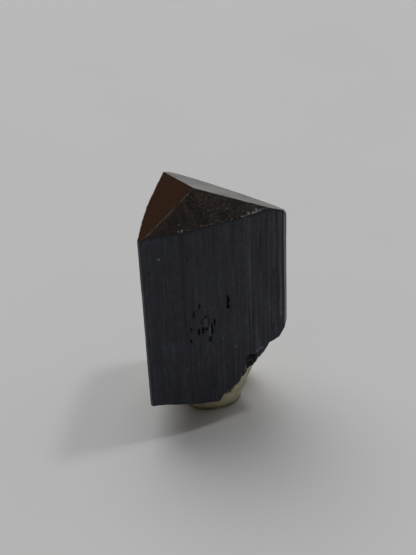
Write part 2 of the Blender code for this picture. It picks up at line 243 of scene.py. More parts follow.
# The lamps: azimuth and elevation in degrees, distance and width in millimetres, and watts. The room:
# its colours by height above the horizon, and the colour seen past the floor's edge.
LAMPS = {
    "back_lamp": (92, 62, 3000, 3050, 47.2),
    "right_lamp": (-5, 67, 3000, 380, 10.5),
    "low_right_lamp": (10, 35, 3000, 3600, 7.7),
}
LAMP_TARGET = (0, 0, 0.018)  # metres
ROOM_COLOURS = ((0.05, (0.050, 0.035, 0.026)), (0.60, (0.150, 0.150, 0.150)))
ROOM_SEEN = (0.50, 0.50, 0.50)

# The view: degrees of azimuth, elevation and roll, and the apex's place before the lens.
VIEW_AZIMUTH = -21.01
VIEW_ELEVATION = 32.15
VIEW_ROLL = -2.52
VIEW_OFFSET = (1.91, -11.96, 165.99)
LENS_MM = 80.6
SENSOR_MM = 36.0


# ------------ small helpers


def place(plan_x, plan_y, level):
    """Frame coordinates, in metres, of plan places and levels: one row for each point."""
    x = (np.asarray(plan_x) + AXIS[0]) * MM
    y = (np.asarray(plan_y) + AXIS[1]) * MM
    z = (np.asarray(level) + STAND_HEIGHT) * MM
    return np.stack(np.broadcast_arrays(x, y, z), -1)


def ease(value, start, end):
    """A smooth step from 0 at start to 1 at end."""
    share = np.clip((value - start) / (end - start), 0, 1)
    return share * share * (3 - 2 * share)


def bell(value, middle, width):
    """A bell curve: 1 at the middle, and 1/e at the width to each side."""
    return np.exp(-(((value - middle) / width) ** 2))


def squared_reach(x, y, middle_x, middle_y, half_width, half_length):
    """Squared distance from a mark's middle, counted in its half width and half length."""
    return ((x - middle_x) / half_width) ** 2 + ((y - middle_y) / half_length) ** 2


def value_noise(x, y, seed):
    """Smooth noise in -1..1: random values on a unit lattice, blended with a cubic fade."""
    x, y = np.asarray(x, float), np.asarray(y, float)
    col, row = np.floor(x), np.floor(y)
    fx, fy = x - col, y - row
    fx, fy = fx * fx * (3 - 2 * fx), fy * fy * (3 - 2 * fy)

    def lattice(i, j):
        wave = np.sin(i * 127.1 + j * 311.7 + seed * 74.7) * 43758.5453
        return 2 * (wave - np.floor(wave)) - 1

    near = lattice(col, row) * (1 - fx) + lattice(col + 1, row) * fx
    far = lattice(col, row + 1) * (1 - fx) + lattice(col + 1, row + 1) * fx
    return near * (1 - fy) + far * fy


def layered_noise(x, y, seed, layers):
    """Value noise summed over layers, each twice as fine and half as strong as the one before."""
    total = 0
    for layer in range(layers):
        total = total + value_noise(x * 2.0**layer, y * 2.0**layer, seed + 5 * layer) * 0.5**layer
    return total


def mesh_piece(name, points, faces, materials, face_material, attributes, sharp_degrees):
    """An object from arrays: points in metres, faces as index rows, and attributes as numbers per point."""
    mesh = bpy.data.meshes.new(name)
    mesh.from_pydata(points, [], faces)
    for material in materials:
        mesh.materials.append(material)
    mesh.polygons.foreach_set("material_index", np.asarray(face_material, np.int32))
    for label, values in attributes.items():
        layer = mesh.attributes.new(label, "FLOAT", "POINT")
        layer.data.foreach_set("value", np.asarray(values, np.float32))
    mesh.shade_smooth()
    mesh.set_sharp_from_angle(angle=math.radians(sharp_degrees))
    mesh.validate()
    mesh.update()
    piece = bpy.data.objects.new(name, mesh)
    bpy.context.scene.collection.objects.link(piece)
    return piece


def skin_faces(rows, columns):
    """Faces of a closed skin, whose points are a pole, rows of columns going round, and a second pole.

    Each row is joined to the next by quads, and each pole to its row by a fan. Columns run anticlockwise
    seen from the first pole, so every face looks outwards.
    """
    here = np.arange(columns)
    after = np.roll(here, -1)
    starts = 1 + np.arange(rows - 1)[:, None] * columns
    quads = np.stack([starts + here, starts + columns + here, starts + columns + after, starts + after], -1)
    last_row = 1 + (rows - 1) * columns
    first_fan = np.stack([0 * here, 1 + here, 1 + after], -1)
    last_fan = np.stack([last_row + here, 0 * here + last_row + columns, last_row + after], -1)
    return first_fan.tolist() + quads.reshape(-1, 4).tolist() + last_fan.tolist()


# ------------ the crystal's shape


def top_level(x, y):
    """Level of the top over a plan place: the lowest of the three planes that meet at the apex."""
    turns = np.radians(TOP_AZIMUTHS)
    falls = [np.cos(turn) * x + np.sin(turn) * y for turn in turns]
    return -TOP_SLOPE * np.max(falls, axis=0)


def break_roughness(x, y, inside):
    """Lumps of two sizes and fine ripples, and the folds of the chip, growing from 0 at the front side."""
    lumps = value_noise(x / BREAK_GRAIN, y / BREAK_GRAIN, 3)
    grains = value_noise(x / BREAK_GRAIN * 2.7, y / BREAK_GRAIN * 2.7, 8)
    ripples = layered_noise(x * 2.2, y * 2.2, 21, 3)
    rough = (BREAK_ROUGHNESS * (lumps + 0.45 * grains) + 0.10 * ripples) * inside
    chipped = ease(x, 3.9, 4.6) * (1 - ease(x, 7.6, 8.2)) * ease(inside, 0, 0.25) * (1 - ease(y, -3.6, -2.4))
    return rough + 0.22 * chipped * (1 - 2 * np.abs(value_noise(x * 1.5, y * 1.9, 27)))


def break_level(x, y):
    """Level of the break over a plan place.

    The front profile holds at the front side and curves into the inner profile within the chip's depth.
    Behind that the inner profile rises slowly. Roughness is added, and the shell-shaped hollow of the chip
    is the roof of an ellipsoid with faint rings, cut up into it.
    """
    x, y = np.asarray(x, float), np.asarray(y, float)
    front = np.interp(x, *FRONT_BREAK.T)
    inner = np.interp(x, *INNER_BREAK.T)
    behind = y - FRONT_Y
    inside = np.clip(behind / CHIP_DEPTH, 0, 1)
    share = np.clip(1 - behind / CHIP_DEPTH, 0, 1) ** 1.7
    rough = break_roughness(x, y, inside)
    level = inner + (front - inner) * share + BREAK_RISE_BACK * np.maximum(behind, 0) + rough
    reach = squared_reach(x, y, *SCOOP_PLACE[:2], *SCOOP_RADII[:2])
    roof = SCOOP_PLACE[2] + SCOOP_RADII[2] * np.sqrt(np.clip(1 - reach, 0, 1)) - 0.9 * ease(reach, 0.55, 1.0)
    ring = 0.05 * np.sin(9 * np.sqrt(reach) + 0.6)
    return np.where(reach < 1, np.maximum(level, roof + ring), level)


# Distance along the section's outline to each corner, and all the way round.
OUTLINE = np.concatenate([[0], np.cumsum(np.hypot(*(np.roll(SECTION, -1, axis=0) - SECTION).T))])
FRONT_END = OUTLINE[FRONT_CORNERS - 1]


def section_point(along):
    """Plan place at a distance along the outline: straight runs between the corners."""
    closed = np.vstack([SECTION, SECTION[:1]])
    along = np.mod(along, OUTLINE[-1])
    return np.interp(along, OUTLINE, closed[:, 0]), np.interp(along, OUTLINE, closed[:, 1])


def section_outward(along):
    """Outward unit direction in plan: across the chord between two points 0.25 mm to each side."""
    ahead_x, ahead_y = section_point(along + 0.25)
    back_x, back_y = section_point(along - 0.25)
    run_x, run_y = ahead_x - back_x, ahead_y - back_y
    size = np.hypot(run_x, run_y)
    return run_y / size, -run_x / size


def left_lean(x, down):
    """Shift of plan x near the left edge, in millimetres: out by 0.05 at the rim, in by 0.15 at the foot."""
    return ease(-x, 6.0, 9.6) * (0.20 * down - 0.05)


def crystal_columns():
    """Distances along the outline of the grid's columns, finer on the front side, and of the ridges' feet.

    The nearest column to each corner and each ridge's foot is moved exactly onto it.
    """
    front = np.arange(0, FRONT_END, FRONT_STEP)
    rest = OUTLINE[-1] - FRONT_END
    others = np.linspace(FRONT_END, OUTLINE[-1], int(rest / SIDE_STEP), endpoint=False)
    along = np.concatenate([front, others])
    fine = np.linspace(0, OUTLINE[-1], 60001)[:-1]
    x, y = section_point(fine)
    azimuth = np.degrees(np.arctan2(y, x))
    ridges = [fine[np.argmin(np.abs((azimuth - ridge + 180) % 360 - 180))] for ridge in RIDGE_AZIMUTHS]
    for wanted in [*OUTLINE[:-1], *ridges]:
        along[np.argmin(np.abs(along - wanted))] = wanted
    return np.unique(along), ridges


class Striae:
    """Long narrow facets along the crystal's length, with random widths, heights and ends.

    Random places along the outline get random heights, joined by straight runs. The heights are drawn again
    at a few levels, each set partly like the one before, and blended between levels.
    """

    def __init__(self, seed, narrow, wide, kept):
        draw = np.random.default_rng(seed)
        gaps = draw.uniform(narrow, wide, int(OUTLINE[-1] / narrow))
        places = np.cumsum(gaps)
        self.places = places[places < OUTLINE[-1] - narrow]
        self.levels = np.array([0.0, -5.0, -9.0, -13.0, -17.0, -21.0, -26.0, -33.0])
        self.sets = [draw.uniform(-1, 1, len(self.places))]
        for _ in self.levels[1:]:
            fresh = draw.uniform(-1, 1, len(self.places))
            self.sets.append(kept * self.sets[-1] + math.sqrt(1 - kept * kept) * fresh)

    def heights(self, along, level):
        """Height in about -1..1 at distances along the outline (columns) and levels (rows by columns)."""
        runs = np.array([np.interp(along, self.places, values, period=OUTLINE[-1]) for values in self.sets])
        slots = np.clip(np.interp(level, self.levels[::-1], np.arange(len(self.levels))[::-1]), 0, None)
        low = np.minimum(slots.astype(int), len(self.levels) - 2)
        share = ease(slots - low, 0.25, 0.75)
        column = np.broadcast_to(np.arange(len(along)), level.shape)
        return runs[low, column] * (1 - share) + runs[low + 1, column] * share


FACETS = Striae(11, 0.16, 0.52, 0.75)
HAIRLINES = Striae(5, 0.09, 0.20, 0.55)
TONES = Striae(23, 0.09, 0.26, 0.45)


def stria_strength(along):
    """How marked the striae are, 0 to 1: weak at the left of the front side and at its right corner."""
    strength = 0.30 + 0.70 * ease(along, 12.0, 17.5) - 0.60 * ease(along, 18.4, 19.2)
    return np.where(along > FRONT_END, 1.0, strength)


def side_relief(along, level):
    """How far the sides stand out, in millimetres, at columns and levels (rows by columns).

    Facets and hairlines, a slow waviness, and on the front side a slight bow under the rim and the pits:
    each a bowl with steep walls whose depth falls from its middle as the square root of one minus the
    squared distance.
    """
    relief = FACET_RELIEF * FACETS.heights(along, level) + HAIRLINE_RELIEF * HAIRLINES.heights(along, level)
    relief = stria_strength(along) * relief + WAVE_RELIEF * value_noise(along / 2.2, level / 9.0, 31)
    x, _ = section_point(along)
    front = along <= FRONT_END
    relief = relief + front * RIM_BOW * bell(x, RIM_BOW_X, 2.7) * (1 - ease(-level, 3.0, 9.0))
    for *pit, depth in PITS:
        wander = 0.35 * pit[2] * value_noise(level * 2.3, level * 0 + pit[0], 4)
        reach = squared_reach(x - wander, level, *pit)
        relief = relief - front * depth * np.sqrt(np.clip(1 - reach, 0, 1))
    return relief


def streak_and_sheen_tone(x, level):
    """Tone of the listed streaks, partly painted sheen and painted highlights: bell curves across, with soft
    ends.
    """
    tone = np.zeros(level.shape)
    for middle, half_width, top, bottom, strength in STREAKS_AND_PAINTED_SHEEN:
        soft = min(0.8, 0.25 * (top - bottom))
        above = ease(level, bottom - soft, bottom + 0.5 * soft)
        below = 1 - ease(level, top - 0.5 * soft, top + soft)
        tone = tone + strength * bell(x, middle, half_width) * above * below
    return tone


def side_tone(along, level):
    """Tone of the sides' finish, dark below 0 and light above it: random striae, which also stand for painted
    sheen bands, and clouds.

    The front side also has the listed streaks, partly painted sheen and highlights, a painted dark line of
    shade under the rim, slow changes and painted shade in the pits, and the bevel at its right is a little
    lighter with painted sheen.
    """
    tone = (0.16 + 0.40 * stria_strength(along)) * TONES.heights(along, level)
    tone = tone + 0.20 * value_noise(along / 1.3, level / 7.0, 41)
    tone = tone + 0.17 * layered_noise(along / 1.2, level / 1.6, 43, 3)
    x, y = section_point(along)
    below_rim = top_level(x, y) - level
    # Painted shade: a dark line just under the rim, patchy along it.
    shade = 0.75 + 0.25 * ease(value_noise(along * 0.8, along * 0, 46), -0.35, 0.45)
    rim_shade_line = shade * ease(below_rim, 0.02, 0.10) * (1 - ease(below_rim, 0.24, 0.46))
    low_left = ease(-level, 12.0, 24.0) * (1 - 0.6 * ease(x, -3.0, 4.0))
    middle_right = ease(-level, 8.0, 14.0) * ease(x, 0.0, 5.0)
    # Listed streaks with their painted sheen, less the painted shade line under the rim.
    ahead = streak_and_sheen_tone(x, level) - 1.9 * rim_shade_line + 0.12 * low_left - 0.08 * middle_right
    # Painted shade in the pits, darker for deeper pits.
    for *pit, depth in PITS:
        ahead = ahead - 9 * depth * np.exp(-(squared_reach(x, level, *pit) ** 2))
    # Painted sheen: the bevel at the right is made a little lighter.
    bevel = (along > FRONT_END) & (along < OUTLINE[FRONT_CORNERS])
    return tone + (along <= FRONT_END) * ahead - 0.10 + 0.15 * bevel


def break_tone(x, y, level):
    """Tone of the break: mottling everywhere, finer near the front side."""
    near = 0.4 * (1 - ease(y, -4.6, -3.2))
    return 0.6 * layered_noise(x * 1.6, y * 1.6, 83, 3) + near * layered_noise(x * 3.1, level * 3.1, 85, 2)


def top_tone(x, y, face):
    """Tone of the top faces: clouds everywhere, the listed marks on face 0, in front, and a streaky face 2.

    Face 2, the back one, has streaks along its right ridge and one dark notch, and painted sheen makes it
    lighter near the apex.
    """
    tone = 0.35 * layered_noise(x * 1.1, y * 1.1, 81, 3)
    along_ridge, off_ridge = 0.866 * x - 0.5 * y, 0.5 * x + 0.866 * y
    notch = np.exp(-squared_reach(along_ridge, off_ridge, 3.55, 1.0, 0.30, 0.7))
    streaky = 0.8 * layered_noise(along_ridge / 1.5, off_ridge / 0.9, 87, 3) - 1.6 * notch
    # Back face: streaks and a notch, and painted sheen near the apex.
    tone = tone + (face == 2) * (0.7 * streaky + 1.2 * bell(np.hypot(x, y), 0, 4.5))
    for *mark, strength in TOP_MARKS:
        tone = tone + (face == 0) * strength * np.exp(-squared_reach(x, y, *mark))
    return tone


def rim_bruise(along):
    """How bruised the rim is, -0.3 to about 1.3: a little everywhere, more or less at the listed places."""
    x, _ = section_point(along)
    bruise = 0.16 + 0.24 * np.clip(value_noise(along * 1.9, along * 0, 51), 0, 1)
    for middle, half_width, strength in RIM_BRUISES:
        bruise = bruise + (along <= FRONT_END) * strength * bell(x, middle, half_width)
    return np.maximum(bruise, -0.3)


def ridge_distance(x, y):
    """Distance in plan to the nearest of the three ridges that run down from the apex."""
    gaps = []
    for ridge in np.radians(RIDGE_AZIMUTHS):
        behind = x * math.cos(ridge) + y * math.sin(ridge) < 0
        gaps.append(np.where(behind, np.hypot(x, y), np.abs(x * math.sin(ridge) - y * math.cos(ridge))))
    return np.min(gaps, axis=0)


def top_relief(x, y):
    """Low relief of the top faces, in millimetres: growth steps up the slope, and grains at front right."""
    grainy = ease(x, -1.5, 2.5)
    streaks = 0.003 * (value_noise(x * 3.1, y * 0.8, 61) + 0.6 * value_noise(x * 6.0, y * 1.5, 62))
    grains = 0.004 * layered_noise(x * 3.3, y * 3.3, 63, 2)
    front = (top_level(x, y) > TOP_SLOPE * y - 1e-6) & (y < 0)
    return np.where(front, streaks * (1 - grainy) + grains * grainy, streaks)


class CrystalGrid:
    """The crystal's whole skin as one grid of points.

    Columns go round the section. Rows go from the apex out over the top planes to the rim, down the sides,
    and in to the break's centre. Side points stand out from the section by the relief; top and break points
    take the level of their surface at their plan place.
    """

    def __init__(self):
        self.along, ridges = crystal_columns()
        self.plan_x, self.plan_y = section_point(self.along)
        self.out_x, self.out_y = section_outward(self.along)
        self.ridge_gap = np.min([np.abs(self.along - ridge) for ridge in ridges], axis=0)
        self.away = ease(self.ridge_gap, 0.0, 0.30)  # 0 at a ridge's foot, which stays on the outline
        self.bruise = rim_bruise(self.along)
        flat_rim = top_level(self.plan_x, self.plan_y)
        self.rim_x, self.rim_y = self.moved_out(flat_rim, self.away)
        self.rim_level = top_level(self.rim_x, self.rim_y)
        self.edge_level = break_level(*self.moved_out(break_level(self.plan_x, self.plan_y), 1.0))
        self.tops = self.lay_tops()
        self.sides = self.lay_sides()
        self.under = self.lay_break()

    def moved_out(self, level, share):
        """Plan places of the section moved out by a share of the sides' relief at a level."""
        relief = side_relief(self.along, level[None, :])[0] * share
        return self.plan_x + self.out_x * relief, self.plan_y + self.out_y * relief

    def lay_tops(self):
        """The top faces' points: shares of the way from the apex to the rim, with low relief."""
        spread = TOP_SHARES[:, None]
        x, y = self.rim_x * spread, self.rim_y * spread
        fade = ease(spread, 0, 0.15) * ease(1 - spread, 0, 0.03) * ease(self.ridge_gap * spread, 0, 0.25)
        worn = RIDGE_WEAR * bell(ridge_distance(x, y), 0, RIDGE_WIDTH)
        return x, y, top_level(x, y) + top_relief(x, y) * fade - worn

    def lay_sides(self):
        """The sides' points: the section moved out by the relief, and in and a little down by the wear."""
        shares = SIDE_SHARES[:, None]
        level = self.rim_level + (self.edge_level - self.rim_level) * shares
        stand = side_relief(self.along, level)
        stand = stand * (1 - (1 - self.away) * (1 - ease(shares, 0.0, 0.03)))
        worn = self.side_wear(shares)
        x = self.plan_x + left_lean(self.plan_x, shares) + self.out_x * (stand - worn)
        return x, self.plan_y + self.out_y * (stand - worn), level - 0.45 * worn

    def side_wear(self, shares):
        """How far the sides are worn in: a chamfer on the rim, and the rounded back edge of the bevel.

        The rim stays sharp at the front right, and the bevel's back edge is worn most just under the rim.
        """
        uneven = 0.6 + 0.4 * value_noise(self.along * 6.0, self.along * 0, 71)
        rim = RIM_WEAR + RIM_WEAR_BRUISED * self.bruise * uneven
        sharp = (self.along <= FRONT_END) * ease(self.plan_x, 3.9, 4.6) * (1 - ease(self.plan_x, 9.3, 10.0))
        corner = CORNER_WEAR * bell(self.along, OUTLINE[FRONT_CORNERS] + 0.3, 0.9)
        below = shares * (self.rim_level - self.edge_level)
        return rim * (1 - sharp) * (shares == 0) + corner * np.exp(-below / 0.18)

    def lay_break(self):
        """The break's points: shares of the way from the sides' foot in to the break's centre."""
        inward = BREAK_SHARES[:, None]
        foot_x, foot_y = self.sides[0][-1], self.sides[1][-1]
        x = foot_x + (BREAK_CENTRE[0] - foot_x) * inward
        y = foot_y + (BREAK_CENTRE[1] - foot_y) * inward
        return x, y, break_level(x, y)

    def points(self):
        """All points in metres: the apex, the rows, and the break's centre."""
        body = place(*(np.vstack(rows) for rows in zip(self.tops, self.sides, self.under)))
        centre = place(*BREAK_CENTRE, break_level(*BREAK_CENTRE))
        return np.vstack([place(0, 0, -RIDGE_WEAR), body.reshape(-1, 3), centre])

    def top_face(self):
        """Which top face each column meets: 0 the front one, 1 the left one, 2 the back one."""
        middle_x = np.roll(self.plan_x, -1) + self.plan_x
        middle_y = np.roll(self.plan_y, -1) + self.plan_y
        azimuth = np.degrees(np.arctan2(middle_y, middle_x)) % 360
        return np.select([azimuth < 90, azimuth < 210, azimuth < 330], [2, 1, 0], 2)

    def face_finishes(self):
        """Which finish each face has: its column's top face, 3 for the sides, or 4 for the break."""
        side_faces = (len(SIDE_SHARES) - 1) * len(self.along)
        break_faces = (len(BREAK_SHARES) + 1) * len(self.along)
        tops = np.tile(self.top_face(), len(TOP_SHARES) + 1)
        return np.concatenate([tops, np.repeat([3, 4], [side_faces, break_faces])])

    def edge_distance(self):
        """Distance in millimetres to the nearest edge that wears: a ridge, the rim, a corner or the break."""
        rim_gap = (1 - TOP_SHARES[:, None]) * np.hypot(self.rim_x, self.rim_y)
        tops = np.minimum(ridge_distance(*self.tops[:2]), rim_gap)
        half = OUTLINE[-1] / 2
        corners = [np.abs((self.along - OUTLINE[at] + half) % OUTLINE[-1] - half) for at in SHARP_CORNERS]
        level = self.sides[2]
        sides = np.minimum(self.rim_level - level, level - self.edge_level)
        sides = np.minimum(sides, np.min(corners, axis=0))
        foot_x, foot_y = self.sides[0][-1], self.sides[1][-1]
        under = BREAK_SHARES[:, None] * np.hypot(foot_x - BREAK_CENTRE[0], foot_y - BREAK_CENTRE[1])
        return np.clip(np.vstack([tops, sides, under]), 0, 4)

    def tone(self):
        """The finish's tone at each point."""
        tops = top_tone(*self.tops[:2], self.top_face())
        return np.vstack([tops, side_tone(self.along, self.sides[2]), break_tone(*self.under)])

    def bruises(self):
        """How bruised each point is: the rim's bruise near the rim, and little elsewhere."""
        tops = 0.3 + 0.9 * self.bruise * ease(TOP_SHARES[:, None], 0.80, 1.0)
        sides = 0.12 + 0.9 * self.bruise * (1 - ease(SIDE_SHARES[:, None], 0.0, 0.015))
        return np.vstack([tops, sides, np.full(self.under[0].shape, 0.15)])


def with_poles(values, first, last):
    """A grid's values as one row, with the values of the two poles before and after."""
    return np.concatenate([[first], values.reshape(-1), [last]])


def crystal_skin(materials):
    """The crystal's skin, with its edge distance, tone, bruises and distance along the outline."""
    grid = CrystalGrid()
    tone = grid.tone()
    attributes = {
        "edge": with_poles(grid.edge_distance(), 0, 4),
        "tone": with_poles(tone, 0, 0),
        "bruise": with_poles(grid.bruises(), 0.4, 0.1),
        "along": with_poles(np.broadcast_to(grid.along, tone.shape), 0, 0),
    }
    faces = skin_faces(*tone.shape)
    finishes = grid.face_finishes()
    return mesh_piece("tourmaline_crystal_skin", grid.points(), faces, materials, finishes, attributes, 24)


# ------------ the putty's shape


def putty_skin(material):
    """The putty's skin: a ball with finger dents, held between the floor and the break.

    Rows are angles down from the top and columns are azimuths. The radius is changed by two waves round the
    ball and by soft noise, swells to a barrel, and narrows to the foot's share below the widest row. Heights
    are held above the floor and below the break less a small gap.
    """
    down = np.linspace(0, math.pi, PUTTY_ROWS + 2)[1:-1, None]
    turn = np.linspace(0, 2 * math.pi, PUTTY_COLUMNS, endpoint=False)[None, :]
    z = np.cos(down) + 0 * turn
    dent = PUTTY_LOBES * (np.sin(3 * turn + 0.6) + 0.6 * np.sin(5 * turn + 2.0 + 2 * z))
    dent = dent + PUTTY_DENTS * layered_noise(np.cos(turn) * 3.1 + 7 + z, np.sin(turn) * 3.1 + z * 2.3, 91, 4)
    below = np.clip(-z * PUTTY_RADII[2] / PUTTY_CENTRE_HEIGHT, 0, 1)
    narrow = 1 + (PUTTY_FOOT_SHARE - 1) * below
    spread = np.minimum(1.0, 1.35 * np.sin(down)) * narrow * (1 + dent)
    x = PUTTY_CENTRE[0] + np.cos(turn) * spread * PUTTY_RADII[0]
    y = PUTTY_CENTRE[1] + np.sin(turn) * spread * PUTTY_RADII[1]
    ceiling = break_level(x, y) + STAND_HEIGHT - CONTACT_GAP
    height = np.clip(PUTTY_CENTRE_HEIGHT + z * PUTTY_RADII[2], 0, ceiling)
    foot_round = 0.5 * np.exp(-height / 0.35) * (height > 0)
    x = x - np.cos(turn) * foot_round
    y = y - np.sin(turn) * foot_round
    body = place(x, y, height - STAND_HEIGHT).reshape(-1, 3)
    top = place(*PUTTY_CENTRE, break_level(*PUTTY_CENTRE) - CONTACT_GAP)
    points = np.vstack([top, body, place(*PUTTY_CENTRE, -STAND_HEIGHT)])
    faces = skin_faces(PUTTY_ROWS, PUTTY_COLUMNS)
    return mesh_piece("mounting_putty_skin", points, faces, [material], np.zeros(len(faces)), {}, 60)


# ------------ shader nodes


def put(tree, socket, value):
    """Link an output to an input, or set the input to a number, a vector or a colour."""
    if isinstance(value, bpy.types.NodeSocket):
        tree.links.new(value, socket)
    elif socket.type == "RGBA":
        socket.default_value = (*value, 1.0)
    else:
        socket.default_value = value


def add_node(tree, kind, *values, **settings):
    """A new node's outputs. Its inputs are fed in order, and None leaves one as it is."""
    node = tree.nodes.new("ShaderNode" + kind)
    for label, value in settings.items():
        setattr(node, label, value)
    for socket, value in zip(node.inputs, values):
        if value is not None:
            put(tree, socket, value)
    return node.outputs


def add_math(tree, operation, *values, clamp=False):
    """The result of a Math node."""
    return add_node(tree, "Math", *values, operation=operation, use_clamp=clamp)[0]


def multiply(tree, first, second):
    """The product of two values."""
    return add_math(tree, "MULTIPLY", first, second)


def add_scaled(tree, value, factor, base):
    """A value times a factor, plus a base."""
    return add_math(tree, "MULTIPLY_ADD", value, factor, base)


def total(tree, *values):
    """The sum of two or more values."""
    result = values[0]
    for value in values[1:]:
        result = add_math(tree, "ADD", result, value)
    return result


def add_noise(tree, vector, scale, detail, roughness, distortion=0.0):
    """A 3-D noise value in 0..1 on a vector."""
    values = (vector, None, scale, detail, roughness, None, None, None, distortion)
    return add_node(tree, "TexNoise", *values)["Fac"]


def add_range(tree, value, low, high, to_low=0.0, to_high=1.0, kind="SMOOTHSTEP"):
    """A value carried from one range to another, with a smooth step unless the kind is LINEAR."""
    return add_node(tree, "MapRange", value, low, high, to_low, to_high, interpolation_type=kind)["Result"]


def add_ramp(tree, value, stops):
    """A colour read off a ramp of (position, colour) stops."""
    node = tree.nodes.new("ShaderNodeValToRGB")
    elements = node.color_ramp.elements
    for index, (position, colour) in enumerate(stops):
        element = elements[index] if index < 2 else elements.new(position)
        element.position = position
        element.color = (*colour, 1.0)
    tree.links.new(value, node.inputs[0])
    return node.outputs["Color"]


def add_mix(tree, share, first, second, blend="MIX"):
    """Two colours mixed by a share."""
    values = (share, *[None] * 5, first, second)
    return add_node(tree, "Mix", *values, data_type="RGBA", blend_type=blend, clamp_factor=True)[2]


# ------------ effects shared by the finishes


def new_group(name, inputs, outputs):
    """An empty shader group, its given values and its results.

    An input whose value is None is a vector. All other inputs, and the outputs, are numbers.
    """
    group = bpy.data.node_groups.new(name, "ShaderNodeTree")
    for label, value in inputs.items():
        kind = "NodeSocketVector" if value is None else "NodeSocketFloat"
        socket = group.interface.new_socket(name=label, in_out="INPUT", socket_type=kind)
        if value is not None:
            socket.default_value = value
    for label in outputs:
        group.interface.new_socket(name=label, in_out="OUTPUT", socket_type="NodeSocketFloat")
    given = group.nodes.new("NodeGroupInput").outputs
    return group, given, group.nodes.new("NodeGroupOutput").inputs


def edge_wear_group():
    """Wear: full on an edge, gone at the width, and broken up by noise. Distances are in millimetres."""
    inputs = {"Vector": None, "Edge": 1.0, "Width": 0.15, "Amount": 0.5, "Scale": 2.0}
    group, given, result = new_group("edge wear", inputs, ["Mask"])
    noise = add_noise(group, given["Vector"], given["Scale"], 3.0, 0.65)
    ragged = add_range(group, noise, 0.30, 0.72, 0.15, 1.35)
    near = add_range(group, given["Edge"], 0.0, multiply(group, given["Width"], ragged), 1.0, 0.0)
    patchy = multiply(group, near, add_range(group, noise, 0.38, 0.66, 0.25, 1.0))
    put(group, result["Mask"], add_math(group, "MULTIPLY", patchy, given["Amount"], clamp=True))
    return group


def striation_group():
    """Hair-fine striae: noise on the distance along the outline, drawn out lengthwise.

    It puts out a height and a tone, both about 0..1.
    """
    inputs = {"Along": 0.0, "Level": 0.0, "Fineness": 9.0, "Stretch": 0.02}
    group, given, result = new_group("striation", inputs, ["Height", "Tone"])
    long_way = multiply(group, given["Level"], given["Stretch"])
    vector = add_node(group, "CombineXYZ", given["Along"], long_way)[0]
    put(group, result["Height"], add_noise(group, vector, given["Fineness"], 3.0, 0.6))
    wide = multiply(group, given["Fineness"], 0.37)
    put(group, result["Tone"], add_noise(group, vector, wide, 4.0, 0.7))
    return group


def speck_group():
    """Scattered specks, 0..1: the middles of random cells, some of them left out and some of them faint."""
    inputs = {"Vector": None, "Scale": 3.0, "Size": 0.35, "Share": 0.5}
    group, given, result = new_group("specks", inputs, ["Mask"])
    cells = add_node(group, "TexVoronoi", given["Vector"], None, given["Scale"])
    spot = add_range(group, cells["Distance"], 0.0, given["Size"], 1.0, 0.0)
    chance, strength, _ = add_node(group, "SeparateColor", cells["Color"])
    chosen = add_math(group, "LESS_THAN", chance, given["Share"])
    lively = add_range(group, strength, 0.0, 1.0, 0.25, 1.0)
    put(group, result["Mask"], multiply(group, multiply(group, spot, chosen), lively))
    return group


def blotch_group():
    """One soft mark: full at its place, gone at its reach away along each axis. All in millimetres."""
    group, given, result = new_group("blotch", {"Vector": None, "Place": None, "Reach": None}, ["Mask"])
    away = add_node(group, "VectorMath", given["Vector"], given["Place"], operation="SUBTRACT")[0]
    away = add_node(group, "VectorMath", away, given["Reach"], operation="DIVIDE")[0]
    length = add_node(group, "VectorMath", away, operation="LENGTH")["Value"]
    put(group, result["Mask"], add_range(group, length, 0.0, 1.0, 1.0, 0.0))
    return group


def line_group():
    """Crisp lengthwise lines: where a noise across the striae passes a limit.

    They are broken by a slower noise along them, and Marked raises their number.
    """
    inputs = {"Along": 0.0, "Level": 0.0, "Fineness": 5.0, "Marked": 1.0}
    group, given, result = new_group("crisp lines", inputs, ["Mask"])
    along, level, fineness = (given[label] for label in ("Along", "Level", "Fineness"))
    vector = add_node(group, "CombineXYZ", along, multiply(group, level, 0.012))[0]
    across = add_noise(group, vector, fineness, 1.0, 0.5)
    limit = add_range(group, given["Marked"], 0.0, 1.0, 0.62, 0.53)
    line = add_range(group, across, limit, total(group, limit, 0.07))
    ends = multiply(group, along, 2.1), multiply(group, level, 0.22), fineness
    slow = add_noise(group, add_node(group, "CombineXYZ", *ends)[0], 1.0, 2.0, 0.6)
    whole = add_range(group, slow, 0.44, 0.56)
    put(group, result["Mask"], multiply(group, line, whole))
    return group


WEAR = edge_wear_group()
STRIATION = striation_group()
SPECKS = speck_group()
LINES = line_group()
BLOTCH = blotch_group()


